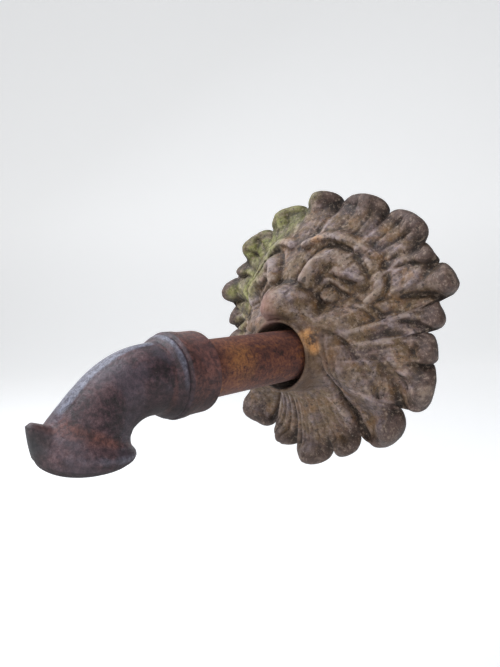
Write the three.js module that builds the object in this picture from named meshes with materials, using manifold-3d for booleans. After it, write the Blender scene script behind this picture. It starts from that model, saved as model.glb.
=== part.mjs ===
// Cast iron grotesque water spout for a wall: a leaf-edged lion mask, the iron
// water pipe that comes out of its mouth, and the turned-down spout on the pipe.
// Millimetres, +Z up. The wall is the plane y = 0, the mask looks along -Y, and
// the origin is on the axis of the round mouth.
import * as THREE from 'three';
import { mergeVertices } from 'three/addons/utils/BufferGeometryUtils.js';
import Module from 'manifold-3d';

const wasm = await Module();
wasm.setup();

// The pipe is a 2 inch iron water pipe. It lies to one side of the mouth.
const pipeRadius = 30.15;
const pipeBore = 26.25;
const pipeSide = 6;
const pipeBack = 0;
const pipeFront = -290;
const seatClearance = 0.3;

// The mouth is a short open tube that stands out of the face.
const rimFront = 116;
const rimBore = 39.3;
const rimCrest = 41.6;
const rimRound = 2.6;
const tubeFlank = 44.6;
const tubeRoot = 50;
const seatLength = 20;
const seatBack = 22;
const seatWall = 7.5;

// The casting: its wall, the flat ring that lies on the building's wall, and
// the thickness of the leaf tips.
const wall = 8;
const leastWall = 4;
const backRingWidth = 10;
const backRingRadius = 118;
const backRingHigh = 34;
const skirtFlare = 8;
const tipHalf = 7;
const tipRound = 5;
const tipInset = 13;

// The plane of the leaf tips leans forward towards the beard.
const edgeForward = 32;
const edgeLean = 0.135;
const edgeLeast = 9;

// Leaf tips on one side, clockwise from the crown seen from in front. Each has
// the angle and reach of its tip, then of the notch after it, in degrees and mm
// from the mouth axis, and the radius of the knob on its tip. steps is the number
// of facets across the whole leaf.
const crown = { name: 'crown', tip: 0, reach: 205, notch: 8.6, inner: 187, full: 0.5, steps: 4, lift: 7, knob: 12 };
const leaves = [
  { name: 'brow lock', tip: 20.5, reach: 203, notch: 29.1, inner: 186, full: 0.5, steps: 5, lift: 0, knob: 13 },
  { name: 'temple lock', tip: 41.5, reach: 204, notch: 47.3, inner: 186, full: 0.5, steps: 5, lift: 0, knob: 13 },
  { name: 'small lock', tip: 53, reach: 189, notch: 57, inner: 184, full: 0.6, steps: 3, lift: 0, knob: 7 },
  { name: 'ear leaf', tip: 65, reach: 193.5, notch: 69.6, inner: 168, full: 0.5, steps: 4, lift: -7, knob: 15 },
  { name: 'under ear leaf', tip: 76, reach: 170, notch: 80.7, inner: 148, full: 0.5, steps: 4, lift: -6, knob: 12 },
  { name: 'cheek leaf', tip: 89, reach: 161, notch: 93.8, inner: 152, full: 0.6, steps: 4, lift: 0, knob: 10 },
  { name: 'jaw leaf', tip: 106, reach: 164, notch: 118.2, inner: 127, full: 0.5, steps: 6, lift: 0, knob: 13 },
  { name: 'great leaf', tip: 131, reach: 151, notch: 147, inner: 118, full: 0.5, steps: 8, lift: -12, knob: 15 },
  { name: 'side beard', tip: 158, reach: 139, notch: 167.5, inner: 128, full: 0.5, steps: 5, lift: 1, knob: 9 },
];
const chin = { name: 'chin beard', tip: 180, reach: 147, full: 0.5, steps: 6, lift: 4, knob: 13 };

// The face between the mouth and the leaves.
const faceRise = 104;
const beardRise = 76;
const faceFall = 1.4;
const foreheadRound = 1.45;
const faceRings = 23;

// The spout: a socket on the pipe, a bend and a beaded lip.
const socketBack = -250.3;
const socketRadius = 40.3;
const beadRadius = 41.8;
const bendStart = 33;
const bendMiddle = 31;
const bendEnd = 34;
const bendRadius = 60;
const bendTurn = 83.9;
const socketToBend = 57.8;
const outletTurn = 8.9;
const lipRing = 35.2;
const lipBead = 7.1;
const lipBore = 29;
const spoutSides = 32;
const pipeSides = 36;

// The hook for a pail's handle at the front of the lip.
const hookRise = 33;
const hookReach = 6;
const hookHalfWidth = 15;

const rad = THREE.MathUtils.degToRad;
const clamp01 = (v) => Math.min(1, Math.max(0, v));
const smooth = (a, b, v) => {
  const t = clamp01((v - a) / (b - a));
  return t * t * (3 - 2 * t);
};
const mix = (a, b, t) => a + (b - a) * t;

// Angle from straight up, the same on both sides, in degrees from 0 to 180.
const angleOf = (x, z) => THREE.MathUtils.radToDeg(Math.atan2(Math.abs(x), z));

// The leaf that an angle falls in, with the notches on both sides of it.
const outline = [crown, ...leaves, chin].map((leaf, i, all) => {
  const before = i === 0 ? { notch: -crown.notch, inner: crown.inner } : all[i - 1];
  const after = i === all.length - 1 ? { notch: 360 - before.notch, inner: before.inner } : leaf;
  return { ...leaf, from: before.notch, fromInner: before.inner, to: after.notch, toInner: after.inner };
});
const leafAt = (angle) => outline.find((leaf) => angle <= leaf.to + 1e-9);

// Position across the leaf: -1 at one notch, 0 at the tip, 1 at the other.
function acrossLeaf(leaf, angle) {
  return angle < leaf.tip ? (angle - leaf.tip) / (leaf.tip - leaf.from) : (angle - leaf.tip) / (leaf.to - leaf.tip);
}

function notchReach(angle) {
  const leaf = leafAt(angle);
  return mix(leaf.fromInner, leaf.toInner, (angle - leaf.from) / (leaf.to - leaf.from));
}

function edgeReach(angle) {
  const leaf = leafAt(angle);
  const u = Math.abs(acrossLeaf(leaf, angle));
  const low = notchReach(angle);
  return low + (leaf.reach - low) * Math.pow(clamp01(1 - Math.pow(u, 2.2)), leaf.full);
}

// How far forward of the wall the middle of the leaf edge lies.
function edgeHeight(x, z) {
  const leaf = leafAt(angleOf(x, z));
  const u = acrossLeaf(leaf, angleOf(x, z));
  return Math.max(edgeForward - edgeLean * z, edgeLeast) + leaf.lift * (1 - u * u);
}

// A carved stroke: a curve with a width and a height that change along it.
function stroke(points, widths, heights) {
  const curve = new THREE.SplineCurve(points.map(([x, z]) => new THREE.Vector2(x, z)));
  const count = 6 * (points.length - 1);
  const samples = curve.getPoints(count);
  return (x, z) => {
    let best = 0;
    samples.forEach((p, i) => {
      const t = i / count;
      const width = mix(widths[0], widths[1], t);
      const d = Math.hypot(Math.abs(x) - p.x, z - p.y) / width;
      const value = mix(heights[0], heights[1], t) * Math.exp(-Math.pow(d, 2.6));
      if (Math.abs(value) > Math.abs(best)) best = value;
    });
    return best;
  };
}

// A rounded swelling or hollow.
const swelling = (cx, cz, rx, rz, height) => (x, z) => {
  const d = ((Math.abs(x) - cx) / rx) ** 2 + ((z - cz) / rz) ** 2;
  return height * Math.exp(-d * d * 0.8);
};

// The eye, the nose, the ring of hair round the eye, the rolled brow with the
// fold under it, the cheekbone, the leaves beside the mouth, and the beard.
const eyeSocket = swelling(50, 72, 29, 20, -16);
const carving = [
  swelling(46, 70, 9.5, 8.5, 8),
  swelling(0, 64, 30, 18, 21),
  stroke([[10, 134], [24, 140], [54, 138], [81, 117], [100, 88], [99, 73], [88, 60]], [7.5, 7], [9, 4]),
  stroke([[16, 104], [23, 119], [44, 129], [68, 118], [86, 95], [86, 74]], [5, 5], [-6, -6]),
  stroke([[106, 98], [108, 81], [95, 59]], [5, 5], [-4, -5]),
  stroke([[26, 75], [24, 90], [31, 106], [44, 114], [58, 112], [70, 103], [78, 86]], [9.5, 7], [15, 10]),
  stroke([[37, 82], [43, 98], [54, 104]], [4, 3.5], [-4, -3]),
  stroke([[46, 93], [57, 97], [77, 87]], [9, 7], [9, 8]),
  stroke([[34, 78], [42, 86], [51, 81], [66, 73]], [4.5, 4], [4, 3]),
  stroke([[17, 86], [28, 78], [37, 66], [41, 50]], [5, 5.5], [-4, -5]),
  stroke([[48, 40], [60, 38], [76, 30], [98, 4]], [11, 9], [8, 5]),
  stroke([[54, 28], [66, 22], [84, 0]], [4.5, 4.5], [-5, -5]),
  stroke([[47, 10], [50, -10], [51, -44], [58, -70], [74, -98]], [5, 6.5], [-8, -15]),
  stroke([[60, 10], [78, -20], [86, -46], [119, -100]], [15, 18], [6, 13]),
  stroke([[92, 8], [102, -12], [113, -32], [119, -60]], [7, 8], [-5, -13]),
  stroke([[108, 16], [120, -2], [148, -36]], [10, 13], [3, 9]),
  stroke([[112, 22], [134, 9], [148, 2]], [5, 6], [-5, -10]),
  stroke([[118, 32], [157, 5]], [7, 7], [4, 6]),
  stroke([[112, 38], [144, 31], [160, 25]], [4.5, 6], [-4, -9]),
  stroke([[108, 63], [150, 66], [172, 60]], [4.5, 6.5], [-4, -11]),
  stroke([[114, 80], [170, 84]], [10, 14], [3, 9]),
  stroke([[110, 99], [172, 98]], [4.5, 6], [-3, -8]),
  stroke([[92, 120], [126, 139]], [4.5, 5.5], [-4, -7]),
  stroke([[22, 158], [28, 188]], [5, 6], [-2, -5]),
  stroke([[19, -60], [26, -112], [37, -134]], [5, 5.5], [-2, -7]),
  stroke([[0, -70], [0, -134]], [5, 5], [-2, -3]),
];

// Where the carving is cut deep, the hollow behind it drops back as well.
const backing = [
  stroke([[47, 10], [50, -20], [51, -44], [56, -66]], [14, 14], [-9, -9]),
  stroke([[18, 100], [24, 119], [44, 129], [68, 118], [86, 95], [88, 76]], [13, 13], [-6, -6]),
  stroke([[17, 84], [37, 62], [40, 48]], [12, 12], [-5, -5]),
];

// The smooth face without its carving, and with it.
function faceGround(x, z) {
  const angle = angleOf(x, z);
  const edge = edgeHeight(x, z) + tipHalf - 1;
  const rise = mix(faceRise, beardRise, smooth(105, 150, angle));
  const s = clamp01((Math.hypot(x, z) - tubeRoot) / (notchReach(angle) - tubeRoot));
  const forehead = 1 - smooth(10, 42, angle);
  const fall = mix(Math.pow(1 - s, faceFall), 1 - Math.pow(s, foreheadRound), forehead);
  return mix(edge, rise, fall);
}

// Height of the hollow's roof behind the face.
const roof = (x, z) => backing.reduce((sum, cut) => sum + cut(x, z), faceGround(x, z) + eyeSocket(x, z) - wall);

// Reach of the flat ring that lies on the wall, at an angle, grown or shrunk.
const backRing = (grow) => (angle) => {
  const r = backRingRadius + grow;
  const across = backRingHigh * Math.sin(rad(angle));
  return backRingHigh * Math.cos(rad(angle)) + Math.sqrt(r * r - across * across);
};

function faceHeight(x, z) {
  const angle = angleOf(x, z);
  const reach = Math.hypot(x, z);
  const leaf = leafAt(angle);
  const u = acrossLeaf(leaf, angle);
  const share = reach / notchReach(angle);
  const away = Math.hypot(
    Math.abs(x) - (leaf.reach - tipInset) * Math.sin(rad(leaf.tip)),
    z - (leaf.reach - tipInset) * Math.cos(rad(leaf.tip)),
  ) / leaf.knob;
  const knob = smooth(0.6, 1, share) * 4 * (1 - u * u) + 7 * Math.exp(-Math.pow(away, 3))
    - smooth(angle < 60 ? 0.85 : 0.7, 1, share) * 6 * Math.pow(Math.abs(u), 5);
  const carved = carving.reduce((sum, cut) => sum + cut(x, z), faceGround(x, z) + eyeSocket(x, z) + knob);
  const behind = reach < backRing(-backRingWidth)(angle) ? roof(x, z) : edgeHeight(x, z) - tipHalf;
  return Math.max(carved, behind + leastWall);
}

// Angles of the columns of facets, clockwise all the way round.
const rightAngles = [];
outline.forEach((leaf, i) => {
  const first = i === 0 ? 0 : leaf.from;
  const last = i === outline.length - 1 ? 180 : leaf.to;
  const steps = i === 0 || i === outline.length - 1 ? leaf.steps / 2 : leaf.steps;
  for (let k = 0; k < steps; k++) rightAngles.push(mix(first, last, k / steps));
});
const columns = [...rightAngles, 180, ...rightAngles.slice(1).reverse().map((a) => 360 - a)];

// A ring of points, one for each column, about an axis along Y.
function ring(angles, radiusAt, forwardAt, side = 0) {
  return angles.map((a) => {
    const fold = a > 180 ? 360 - a : a;
    const r = typeof radiusAt === 'function' ? radiusAt(fold) : radiusAt;
    const x = r * Math.sin(rad(a));
    const z = r * Math.cos(rad(a));
    const forward = typeof forwardAt === 'function' ? forwardAt(x, z) : forwardAt;
    return new THREE.Vector3(x + side, -forward, z);
  });
}

// Closed skin through a loop of rings. Neighbouring rings have the same number
// of points, or one has half as many as the other.
function skin(rings) {
  const positions = [];
  const faces = [];
  const starts = rings.map((points) => {
    const start = positions.length / 3;
    points.forEach((p) => positions.push(p.x, p.y, p.z));
    return start;
  });
  const at = (i) => new THREE.Vector3(...positions.slice(3 * i, 3 * i + 3));
  rings.forEach((points, i) => {
    const j = (i + 1) % rings.length;
    const n = points.length;
    const m = rings[j].length;
    const a = (k) => starts[i] + (k % n);
    const b = (k) => starts[j] + (k % m);
    if (n === m) {
      for (let k = 0; k < n; k++) {
        const one = at(a(k)).distanceTo(at(b(k + 1)));
        const other = at(a(k + 1)).distanceTo(at(b(k)));
        if (one < other) faces.push([a(k), a(k + 1), b(k + 1)], [a(k), b(k + 1), b(k)]);
        else faces.push([a(k), a(k + 1), b(k)], [a(k + 1), b(k + 1), b(k)]);
      }
    } else if (n === 2 * m) {
      for (let k = 0; k < m; k++) {
        faces.push([a(2 * k), a(2 * k + 1), b(k)], [a(2 * k + 1), b(k + 1), b(k)]);
        faces.push([a(2 * k + 1), a(2 * k + 2), b(k + 1)]);
      }
    } else {
      for (let k = 0; k < n; k++) {
        faces.push([a(k), b(2 * k + 1), b(2 * k)], [a(k), a(k + 1), b(2 * k + 1)]);
        faces.push([a(k + 1), b(2 * k + 2), b(2 * k + 1)]);
      }
    }
  });
  const geometry = new THREE.BufferGeometry();
  geometry.setAttribute('position', new THREE.Float32BufferAttribute(positions, 3));
  geometry.setIndex(faces.flat());
  if (volume(geometry) < 0) geometry.setIndex(faces.map(([p, q, r]) => [p, r, q]).flat());
  return geometry;
}

function volume(geometry) {
  const p = geometry.attributes.position;
  const index = geometry.index.array;
  let sum = 0;
  const v = [0, 1, 2].map(() => new THREE.Vector3());
  for (let i = 0; i < index.length; i += 3) {
    v.forEach((point, k) => point.fromBufferAttribute(p, index[i + k]));
    sum += v[0].dot(v[1].clone().cross(v[2])) / 6;
  }
  return sum;
}

function toManifold(geometry) {
  const clean = geometry.clone();
  clean.deleteAttribute('normal');
  clean.deleteAttribute('uv');
  const merged = mergeVertices(clean, 1e-4);
  return new wasm.Manifold(new wasm.Mesh({
    numProp: 3,
    vertProperties: new Float32Array(merged.attributes.position.array),
    triVerts: new Uint32Array(merged.index.array),
  }));
}

function toGeometry(solid) {
  const mesh = solid.getMesh();
  const geometry = new THREE.BufferGeometry();
  geometry.setAttribute('position', new THREE.Float32BufferAttribute(mesh.vertProperties, 3));
  geometry.setIndex(Array.from(mesh.triVerts));
  return geometry;
}

// The mask, as one closed skin: out of the mouth, over the face to the leaf
// tips, round them, back down the skirt to the wall and up again inside.
function maskGeometry() {
  const half = columns.filter((_, i) => i % 2 === 0);
  const rings = [
    ring(columns, rimBore, rimFront - rimRound),
    ring(columns, rimCrest, rimFront),
    ring(columns, tubeFlank, rimFront - rimRound),
    ring(columns, (tubeFlank + tubeRoot) / 2, (x, z) => mix(rimFront, faceHeight(x, z), 0.55)),
  ];
  for (let k = 0; k <= faceRings; k++) {
    const t = k / faceRings;
    rings.push(ring(columns, (fold) => mix(tubeRoot, edgeReach(fold) - tipRound, t), faceHeight));
  }
  rings.push(ring(columns, edgeReach, (x, z) => edgeHeight(x, z) + 1));
  rings.push(ring(columns, (fold) => edgeReach(fold) - tipRound, (x, z) => edgeHeight(x, z) - tipHalf));
  rings.push(ring(columns, backRing(skirtFlare), (x, z) => edgeHeight(x, z) - tipHalf));
  rings.push(ring(half, backRing(0), 0));
  rings.push(ring(half, backRing(-backRingWidth), 0));
  for (const t of [0.04, 0.36, 0.7, 1]) {
    const radius = (fold) => mix(backRing(-backRingWidth)(fold), tubeRoot + 4, t);
    rings.push(ring(half, radius, roof));
  }
  const tubeBack = seatBack + seatLength;
  rings.push(ring(half, rimBore + wall, (x, z) => roof(x, z) - 6, pipeSide * 0.3));
  rings.push(ring(half, pipeRadius + seatWall + 2, tubeBack, pipeSide));
  rings.push(ring(half, pipeRadius + seatWall, seatBack, pipeSide));
  rings.push(ring(half, pipeRadius + seatClearance, seatBack, pipeSide));
  rings.push(ring(half, pipeRadius + seatClearance, tubeBack, pipeSide));
  rings.push(ring(half, rimBore - 1.5, (x, z) => mix(roof(x, z) - 8, rimFront, 0.2), pipeSide * 0.25));
  return skin(rings);
}

// A round tube wall between two radii along straight Y, closed at both ends.
function pipeGeometry() {
  const angles = Array.from({ length: pipeSides }, (_, k) => (360 * k) / pipeSides);
  const rings = [
    ring(angles, pipeRadius, -pipeBack, pipeSide),
    ring(angles, pipeRadius, -pipeFront, pipeSide),
    ring(angles, pipeBore, -pipeFront, pipeSide),
    ring(angles, pipeBore, -pipeBack, pipeSide),
  ];
  return skin(rings);
}

// A frame along the spout's centre line: straight from the socket, round the
// bend, then down to the lip. run is the length from the start of the bend.
const outletDown = new THREE.Vector3(-Math.sin(rad(outletTurn)), 0, -Math.cos(rad(outletTurn)));
const forward = new THREE.Vector3(0, -1, 0);
const sideways = new THREE.Vector3().crossVectors(forward, outletDown);
const bendCentreY = socketBack - socketToBend;
const lipRun = rad(bendTurn) * bendRadius;

function spoutFrame(run) {
  const arc = (Math.PI / 2) * bendRadius;
  const a = clamp01(run / arc) * (Math.PI / 2);
  const centre = new THREE.Vector3(pipeSide, bendCentreY, 0)
    .addScaledVector(forward, bendRadius * Math.sin(a) + Math.min(run, 0))
    .addScaledVector(outletDown, bendRadius * (1 - Math.cos(a)) + Math.max(run - arc, 0));
  const out = new THREE.Vector3()
    .addScaledVector(outletDown, -Math.cos(a))
    .addScaledVector(forward, Math.sin(a));
  return { centre, out };
}

function spoutRing(run, radius) {
  const { centre, out } = spoutFrame(run);
  return Array.from({ length: spoutSides }, (_, k) => {
    const t = (2 * Math.PI * k) / spoutSides;
    return centre.clone()
      .addScaledVector(out, radius * Math.cos(t))
      .addScaledVector(sideways, radius * Math.sin(t));
  });
}

function spoutGeometry() {
  const runAt = (y) => bendCentreY - y;
  const arc = (Math.PI / 2) * bendRadius;
  const rings = [
    spoutRing(runAt(socketBack), pipeRadius + seatClearance),
    spoutRing(runAt(socketBack), socketRadius - 2),
    spoutRing(runAt(socketBack - 2), socketRadius),
    spoutRing(runAt(socketBack - 21), socketRadius),
    spoutRing(runAt(socketBack - 26), beadRadius),
    spoutRing(runAt(socketBack - 37), beadRadius),
    spoutRing(runAt(socketBack - 40), beadRadius - 2.5),
    spoutRing(runAt(socketBack - 43), bendStart + 3),
    spoutRing(runAt(socketBack - 47), bendStart + 0.5),
  ];
  for (let k = 1; k <= 8; k++) {
    const t = k / 9;
    const radius = t < 0.5 ? mix(bendStart, bendMiddle, t * 2) : mix(bendMiddle, bendEnd, t * 2 - 1);
    rings.push(spoutRing(arc * t * 0.86, radius));
  }
  rings.push(spoutRing(lipRun - 9, lipRing + 0.5));
  for (const a of [60, 20, -25, -70]) {
    rings.push(spoutRing(lipRun - lipBead * Math.sin(rad(a)), lipRing + lipBead * Math.cos(rad(a))));
  }
  rings.push(spoutRing(lipRun + lipBead - 0.5, lipBore + 2));
  rings.push(spoutRing(lipRun + lipBead - 3, lipBore));
  rings.push(spoutRing(lipRun - 14, pipeBore));
  for (let k = 5; k >= 0; k--) rings.push(spoutRing((arc * 0.8 * k) / 5, pipeBore));
  rings.push(spoutRing(runAt(pipeFront - 1), pipeBore));
  rings.push(spoutRing(runAt(pipeFront - 1), pipeRadius + seatClearance));
  return skin(rings);
}

// The pail hook: a blade that rises from the front of the lip to a blunt point
// and leans back into the neck.
function hookGeometry() {
  const foot = spoutFrame(lipRun).centre;
  const place = (out, side, up) => foot.clone()
    .addScaledVector(forward, out).addScaledVector(sideways, side).addScaledVector(outletDown, -up);
  const outer = lipRing + lipBead;
  const section = (up, from, to, width) => [
    place(from, -width, up), place(to, -width * 0.35, up), place(to, width * 0.35, up), place(from, width, up),
  ];
  const rings = [
    section(-2, lipRing - 3, outer - 2, hookHalfWidth),
    section(8, bendEnd - 3, outer + hookReach * 0.4, hookHalfWidth * 0.8),
    section(hookRise * 0.7, bendEnd - 1.5, outer + hookReach, hookHalfWidth * 0.55),
    section(hookRise, bendEnd + 5, outer + hookReach + 1, hookHalfWidth * 0.3),
  ];
  const points = rings.flat();
  const faces = [];
  for (let i = 0; i < rings.length - 1; i++) {
    for (let k = 0; k < 4; k++) {
      const a = 4 * i + k;
      const b = 4 * i + ((k + 1) % 4);
      faces.push(a, b, b + 4, a, b + 4, a + 4);
    }
  }
  const top = 4 * (rings.length - 1);
  faces.push(0, 2, 1, 0, 3, 2, top, top + 1, top + 2, top, top + 2, top + 3);
  const geometry = new THREE.BufferGeometry();
  geometry.setAttribute('position', new THREE.Float32BufferAttribute(points.flatMap((p) => p.toArray()), 3));
  geometry.setIndex(faces);
  if (volume(geometry) < 0) {
    const flipped = [];
    for (let i = 0; i < faces.length; i += 3) flipped.push(faces[i], faces[i + 2], faces[i + 1]);
    geometry.setIndex(flipped);
  }
  return geometry;
}

const spoutWithHook = toGeometry(toManifold(spoutGeometry()).add(toManifold(hookGeometry())));

function piece(name, geometry, color, roughness) {
  const material = new THREE.MeshStandardMaterial({ color, roughness, metalness: 0.4 });
  const mesh = new THREE.Mesh(geometry, material);
  mesh.name = name;
  return mesh;
}

const group = new THREE.Group();
group.name = 'grotesque_water_spout';
group.add(piece('mask', maskGeometry(), 0x6b5a4c, 0.85));
group.add(piece('pipe', pipeGeometry(), 0x6a4034, 0.9));
group.add(piece('spout', spoutWithHook, 0x4f3a36, 0.75));

export default group;
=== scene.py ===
# %% [markdown]
# # A cast iron grotesque water spout
# The frame holds three parts at their real size: the mask, the water pipe and
# the spout. The scene keeps their places and gives each its finished surface:
# the carving of the mask, and the rust of three different irons.

# %% Load the frame
import bpy
import bmesh
import math
import numpy as np
from mathutils import Matrix, Vector, noise


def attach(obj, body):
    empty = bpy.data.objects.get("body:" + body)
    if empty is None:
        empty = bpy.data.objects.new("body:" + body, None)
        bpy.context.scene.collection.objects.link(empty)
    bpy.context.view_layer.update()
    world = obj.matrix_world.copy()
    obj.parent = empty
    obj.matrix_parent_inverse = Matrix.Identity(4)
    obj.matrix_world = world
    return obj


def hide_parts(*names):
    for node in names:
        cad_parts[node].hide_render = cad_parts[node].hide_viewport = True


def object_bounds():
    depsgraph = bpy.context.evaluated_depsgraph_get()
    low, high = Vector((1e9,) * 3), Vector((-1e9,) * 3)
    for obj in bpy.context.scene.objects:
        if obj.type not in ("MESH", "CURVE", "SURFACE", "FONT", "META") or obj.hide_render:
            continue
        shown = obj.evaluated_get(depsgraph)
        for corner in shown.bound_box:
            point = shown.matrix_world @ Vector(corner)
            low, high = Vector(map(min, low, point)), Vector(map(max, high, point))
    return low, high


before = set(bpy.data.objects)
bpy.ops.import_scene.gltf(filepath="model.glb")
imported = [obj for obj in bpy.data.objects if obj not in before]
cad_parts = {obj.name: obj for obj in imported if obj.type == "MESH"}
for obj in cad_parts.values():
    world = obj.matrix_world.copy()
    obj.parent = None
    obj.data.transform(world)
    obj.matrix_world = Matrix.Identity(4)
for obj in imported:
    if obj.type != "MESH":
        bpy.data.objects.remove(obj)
cad_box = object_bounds()
MM = 0.001
print("box of the frame", cad_box)

# %% [markdown]
# ## The camera
# The photograph was taken from the mask's left hand, almost level with the
# mouth and close to the spout, so the spout looks large. A camera can be aimed
# with a constraint, but here its place and its three angles are known: they
# were worked out from the round pipe, the socket and the paired leaf tips. So
# they are set as a matrix, and nothing can move it later.

# %% Camera
IMAGE_HEIGHT = 667
focal_pixels = 505
azimuth, elevation, roll = (math.radians(a) for a in (43.23, 4.17, -2.16))
camera_place = Vector((387.2, -574.4, 71.6)) * MM

back = Vector((math.sin(azimuth) * math.cos(elevation),
               -math.cos(azimuth) * math.cos(elevation), math.sin(elevation)))
right = Vector((math.cos(azimuth), math.sin(azimuth), 0))
up = back.cross(right)
right, up = (right * math.cos(roll) + up * math.sin(roll),
             up * math.cos(roll) - right * math.sin(roll))

camera_data = bpy.data.cameras.new("camera")
camera_data.sensor_width = 36
camera_data.lens = focal_pixels / IMAGE_HEIGHT * camera_data.sensor_width
camera = bpy.data.objects.new("camera", camera_data)
turn = Matrix((right, up, back)).transposed().to_4x4()
camera.matrix_world = Matrix.Translation(camera_place) @ turn
bpy.context.scene.collection.objects.link(camera)
bpy.context.scene.camera = camera
print("lens", round(camera_data.lens, 2), "mm")

# %% [markdown]
# ## The leaves of the mask
# The edge of the casting is a ring of leaf tips. They could be modelled one by
# one and joined, but the real mask is a single skin, so the edge is one line
# that swells and shrinks round the mouth. Each leaf is one row of a table, in
# degrees from straight up and in millimetres from the mouth's axis. The right
# and left side are alike, so half of the leaves is enough.

# %% Leaf tips
LEAVES = [
    # tip's angle and reach, next notch's angle and reach, lift, knob's radius
    (0, 205, 8.6, 187, 7, 12),
    (20.5, 203, 29.1, 186, 0, 13),
    (41.5, 204, 47.3, 186, 0, 13),
    (53, 189, 57, 184, 0, 7),
    (64.6, 195.5, 69.6, 168, -7, 15),
    (76, 170, 80.7, 148, -6, 12),
    (91, 161, 93.8, 152, 0, 10),
    (106, 164, 118.2, 127, 0, 13),
    (131, 153, 147, 118, -12, 15),
    (158, 139, 167.5, 128, 1, 9),
    (180, 147, 192.5, 128, 4, 13),
]
TIP, REACH, NOTCH, INNER, LIFT, KNOB = np.array(LEAVES, float).T
FROM = np.r_[-NOTCH[0], NOTCH[:-1]]
FROM_INNER = np.r_[INNER[0], INNER[:-1]]
print("leaf tips round the edge", 2 * len(LEAVES) - 2)

# %% Leaf edge
EAR_LEAF = 4
BLUNT, PLUMP = 3.3, 2.2
EDGE_AT_MOUTH = 32
EDGE_LEAN = 0.135
EDGE_LOWEST = 9


def mix(a, b, t):
    """The value a share t of the way from a to b."""
    return a + (b - a) * t


def smooth(a, b, v):
    """Goes softly from 0 at a to 1 at b."""
    t = np.clip((v - a) / (b - a), 0, 1)
    return t * t * (3 - 2 * t)


def angle_of(x, z):
    """Degrees from straight up, the same on both sides."""
    return np.degrees(np.arctan2(np.abs(x), z))


def leaf_at(angle):
    """Which leaf an angle is in, and how far across it, from -1 to 1."""
    leaf = np.minimum(np.searchsorted(NOTCH, angle), len(NOTCH) - 1)
    over = angle - TIP[leaf]
    across = np.where(over < 0, over / (TIP - FROM)[leaf], over / (NOTCH - TIP)[leaf])
    return leaf, np.clip(across, -1, 1)


def notch_reach(angle):
    """How far out the leaves part, at any angle."""
    leaf, _ = leaf_at(angle)
    t = (angle - FROM[leaf]) / (NOTCH - FROM)[leaf]
    return mix(FROM_INNER[leaf], INNER[leaf], t)


def edge_reach(angle):
    """How far out the leaf edge is. The ear leaf has a blunter tip."""
    leaf, across = leaf_at(angle)
    low = notch_reach(angle)
    tip_form = np.where(leaf == EAR_LEAF, BLUNT, PLUMP)
    return low + (REACH[leaf] - low) * (1 - np.abs(across) ** tip_form) ** 0.5


def edge_height(x, z):
    """How far the middle of the leaf edge stands in front of the wall."""
    leaf, across = leaf_at(angle_of(x, z))
    plane = np.maximum(EDGE_AT_MOUTH - EDGE_LEAN * z, EDGE_LOWEST)
    return plane + LIFT[leaf] * (1 - across ** 2) ** 1.8


print("crown leaf's reach", edge_reach(np.array([0.0])).round(1), "mm")

# %% [markdown]
# ## Carving strokes
# A face like this is carved in wood or clay before it is cast. It could be
# sculpted with brushes, but a script can't hold a brush. So it is built from the
# same kind of strokes: a smooth curve through a few points, with a width and a
# height that change along it. A negative height is a cut. All strokes are made
# on one half and mirrored.

# %% Strokes
def smooth_line(points, steps):
    """Points along a smooth curve that passes through all the given ones."""
    p = np.array(points, float)
    p = np.vstack([2 * p[0] - p[1], p, 2 * p[-1] - p[-2]])
    out = []
    for a, b, c, d in zip(p, p[1:], p[2:], p[3:]):
        t = np.linspace(0, 1, steps, endpoint=False)[:, None]
        out.append(0.5 * (2 * b + (c - a) * t + (2 * a - 5 * b + 4 * c - d) * t ** 2
                          + (3 * b - a - 3 * c + d) * t ** 3))
    return np.vstack(out + [p[-2][None]])


def near_line(x, z, points, reach):
    """Distance to the curve and place along it, for the points within reach."""
    line = smooth_line(points, 8)
    best = np.full(x.shape, 1e9)
    along = np.zeros(x.shape)
    inside = ((x > line[:, 0].min() - reach) & (x < line[:, 0].max() + reach)
              & (z > line[:, 1].min() - reach) & (z < line[:, 1].max() + reach))
    xi, zi = x[inside], z[inside]
    bi, ai = best[inside], along[inside]
    n = len(line) - 1
    for k, (p, q) in enumerate(zip(line, line[1:])):
        d = q - p
        t = np.clip(((xi - p[0]) * d[0] + (zi - p[1]) * d[1]) / (d @ d + 1e-9), 0, 1)
        gap = np.hypot(xi - p[0] - t * d[0], zi - p[1] - t * d[1])
        nearer = gap < bi
        bi[nearer] = gap[nearer]
        ai[nearer] = ((k + t) / n)[nearer]
    best[inside], along[inside] = bi, ai
    return best, along


def stroke(x, z, points, widths, heights, sharp=2.0):
    """A raised roll or a cut groove. sharp 2 is round, 1 is a crease."""
    gap, along = near_line(np.abs(x), z, points, 3 * max(widths))
    stops = np.linspace(0, 1, len(widths))
    width = np.interp(along, stops, widths)
    height = np.interp(along, np.linspace(0, 1, len(heights)), heights)
    return height * np.exp(-(gap / width) ** sharp)


def swelling(x, z, cx, cz, rx, rz, height):
    """A soft oval mound, or a hollow where its height is negative."""
    d = ((np.abs(x) - cx) / rx) ** 2 + ((z - cz) / rz) ** 2
    return height * np.exp(-0.8 * d * d)


beside = stroke(np.array([3.0]), np.array([10.0]), [(0, 0), (0, 20)], (4, 4), (9, 9))
print("a 9 mm roll still stands", beside.round(1), "mm high 3 mm beside its line")

# %% [markdown]
# ## The face
# The face is a grotesque with a ring of hair round each eye, a brow like a fat
# comma, a bulb of a nose over the mouth, and a beard. Its lines are lists of
# points on one half, in millimetres across and up from the mouth's axis, and
# each is laid as a stroke. A height map would do the same, but a list of
# strokes says what each line is, and one can be moved by itself.

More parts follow.
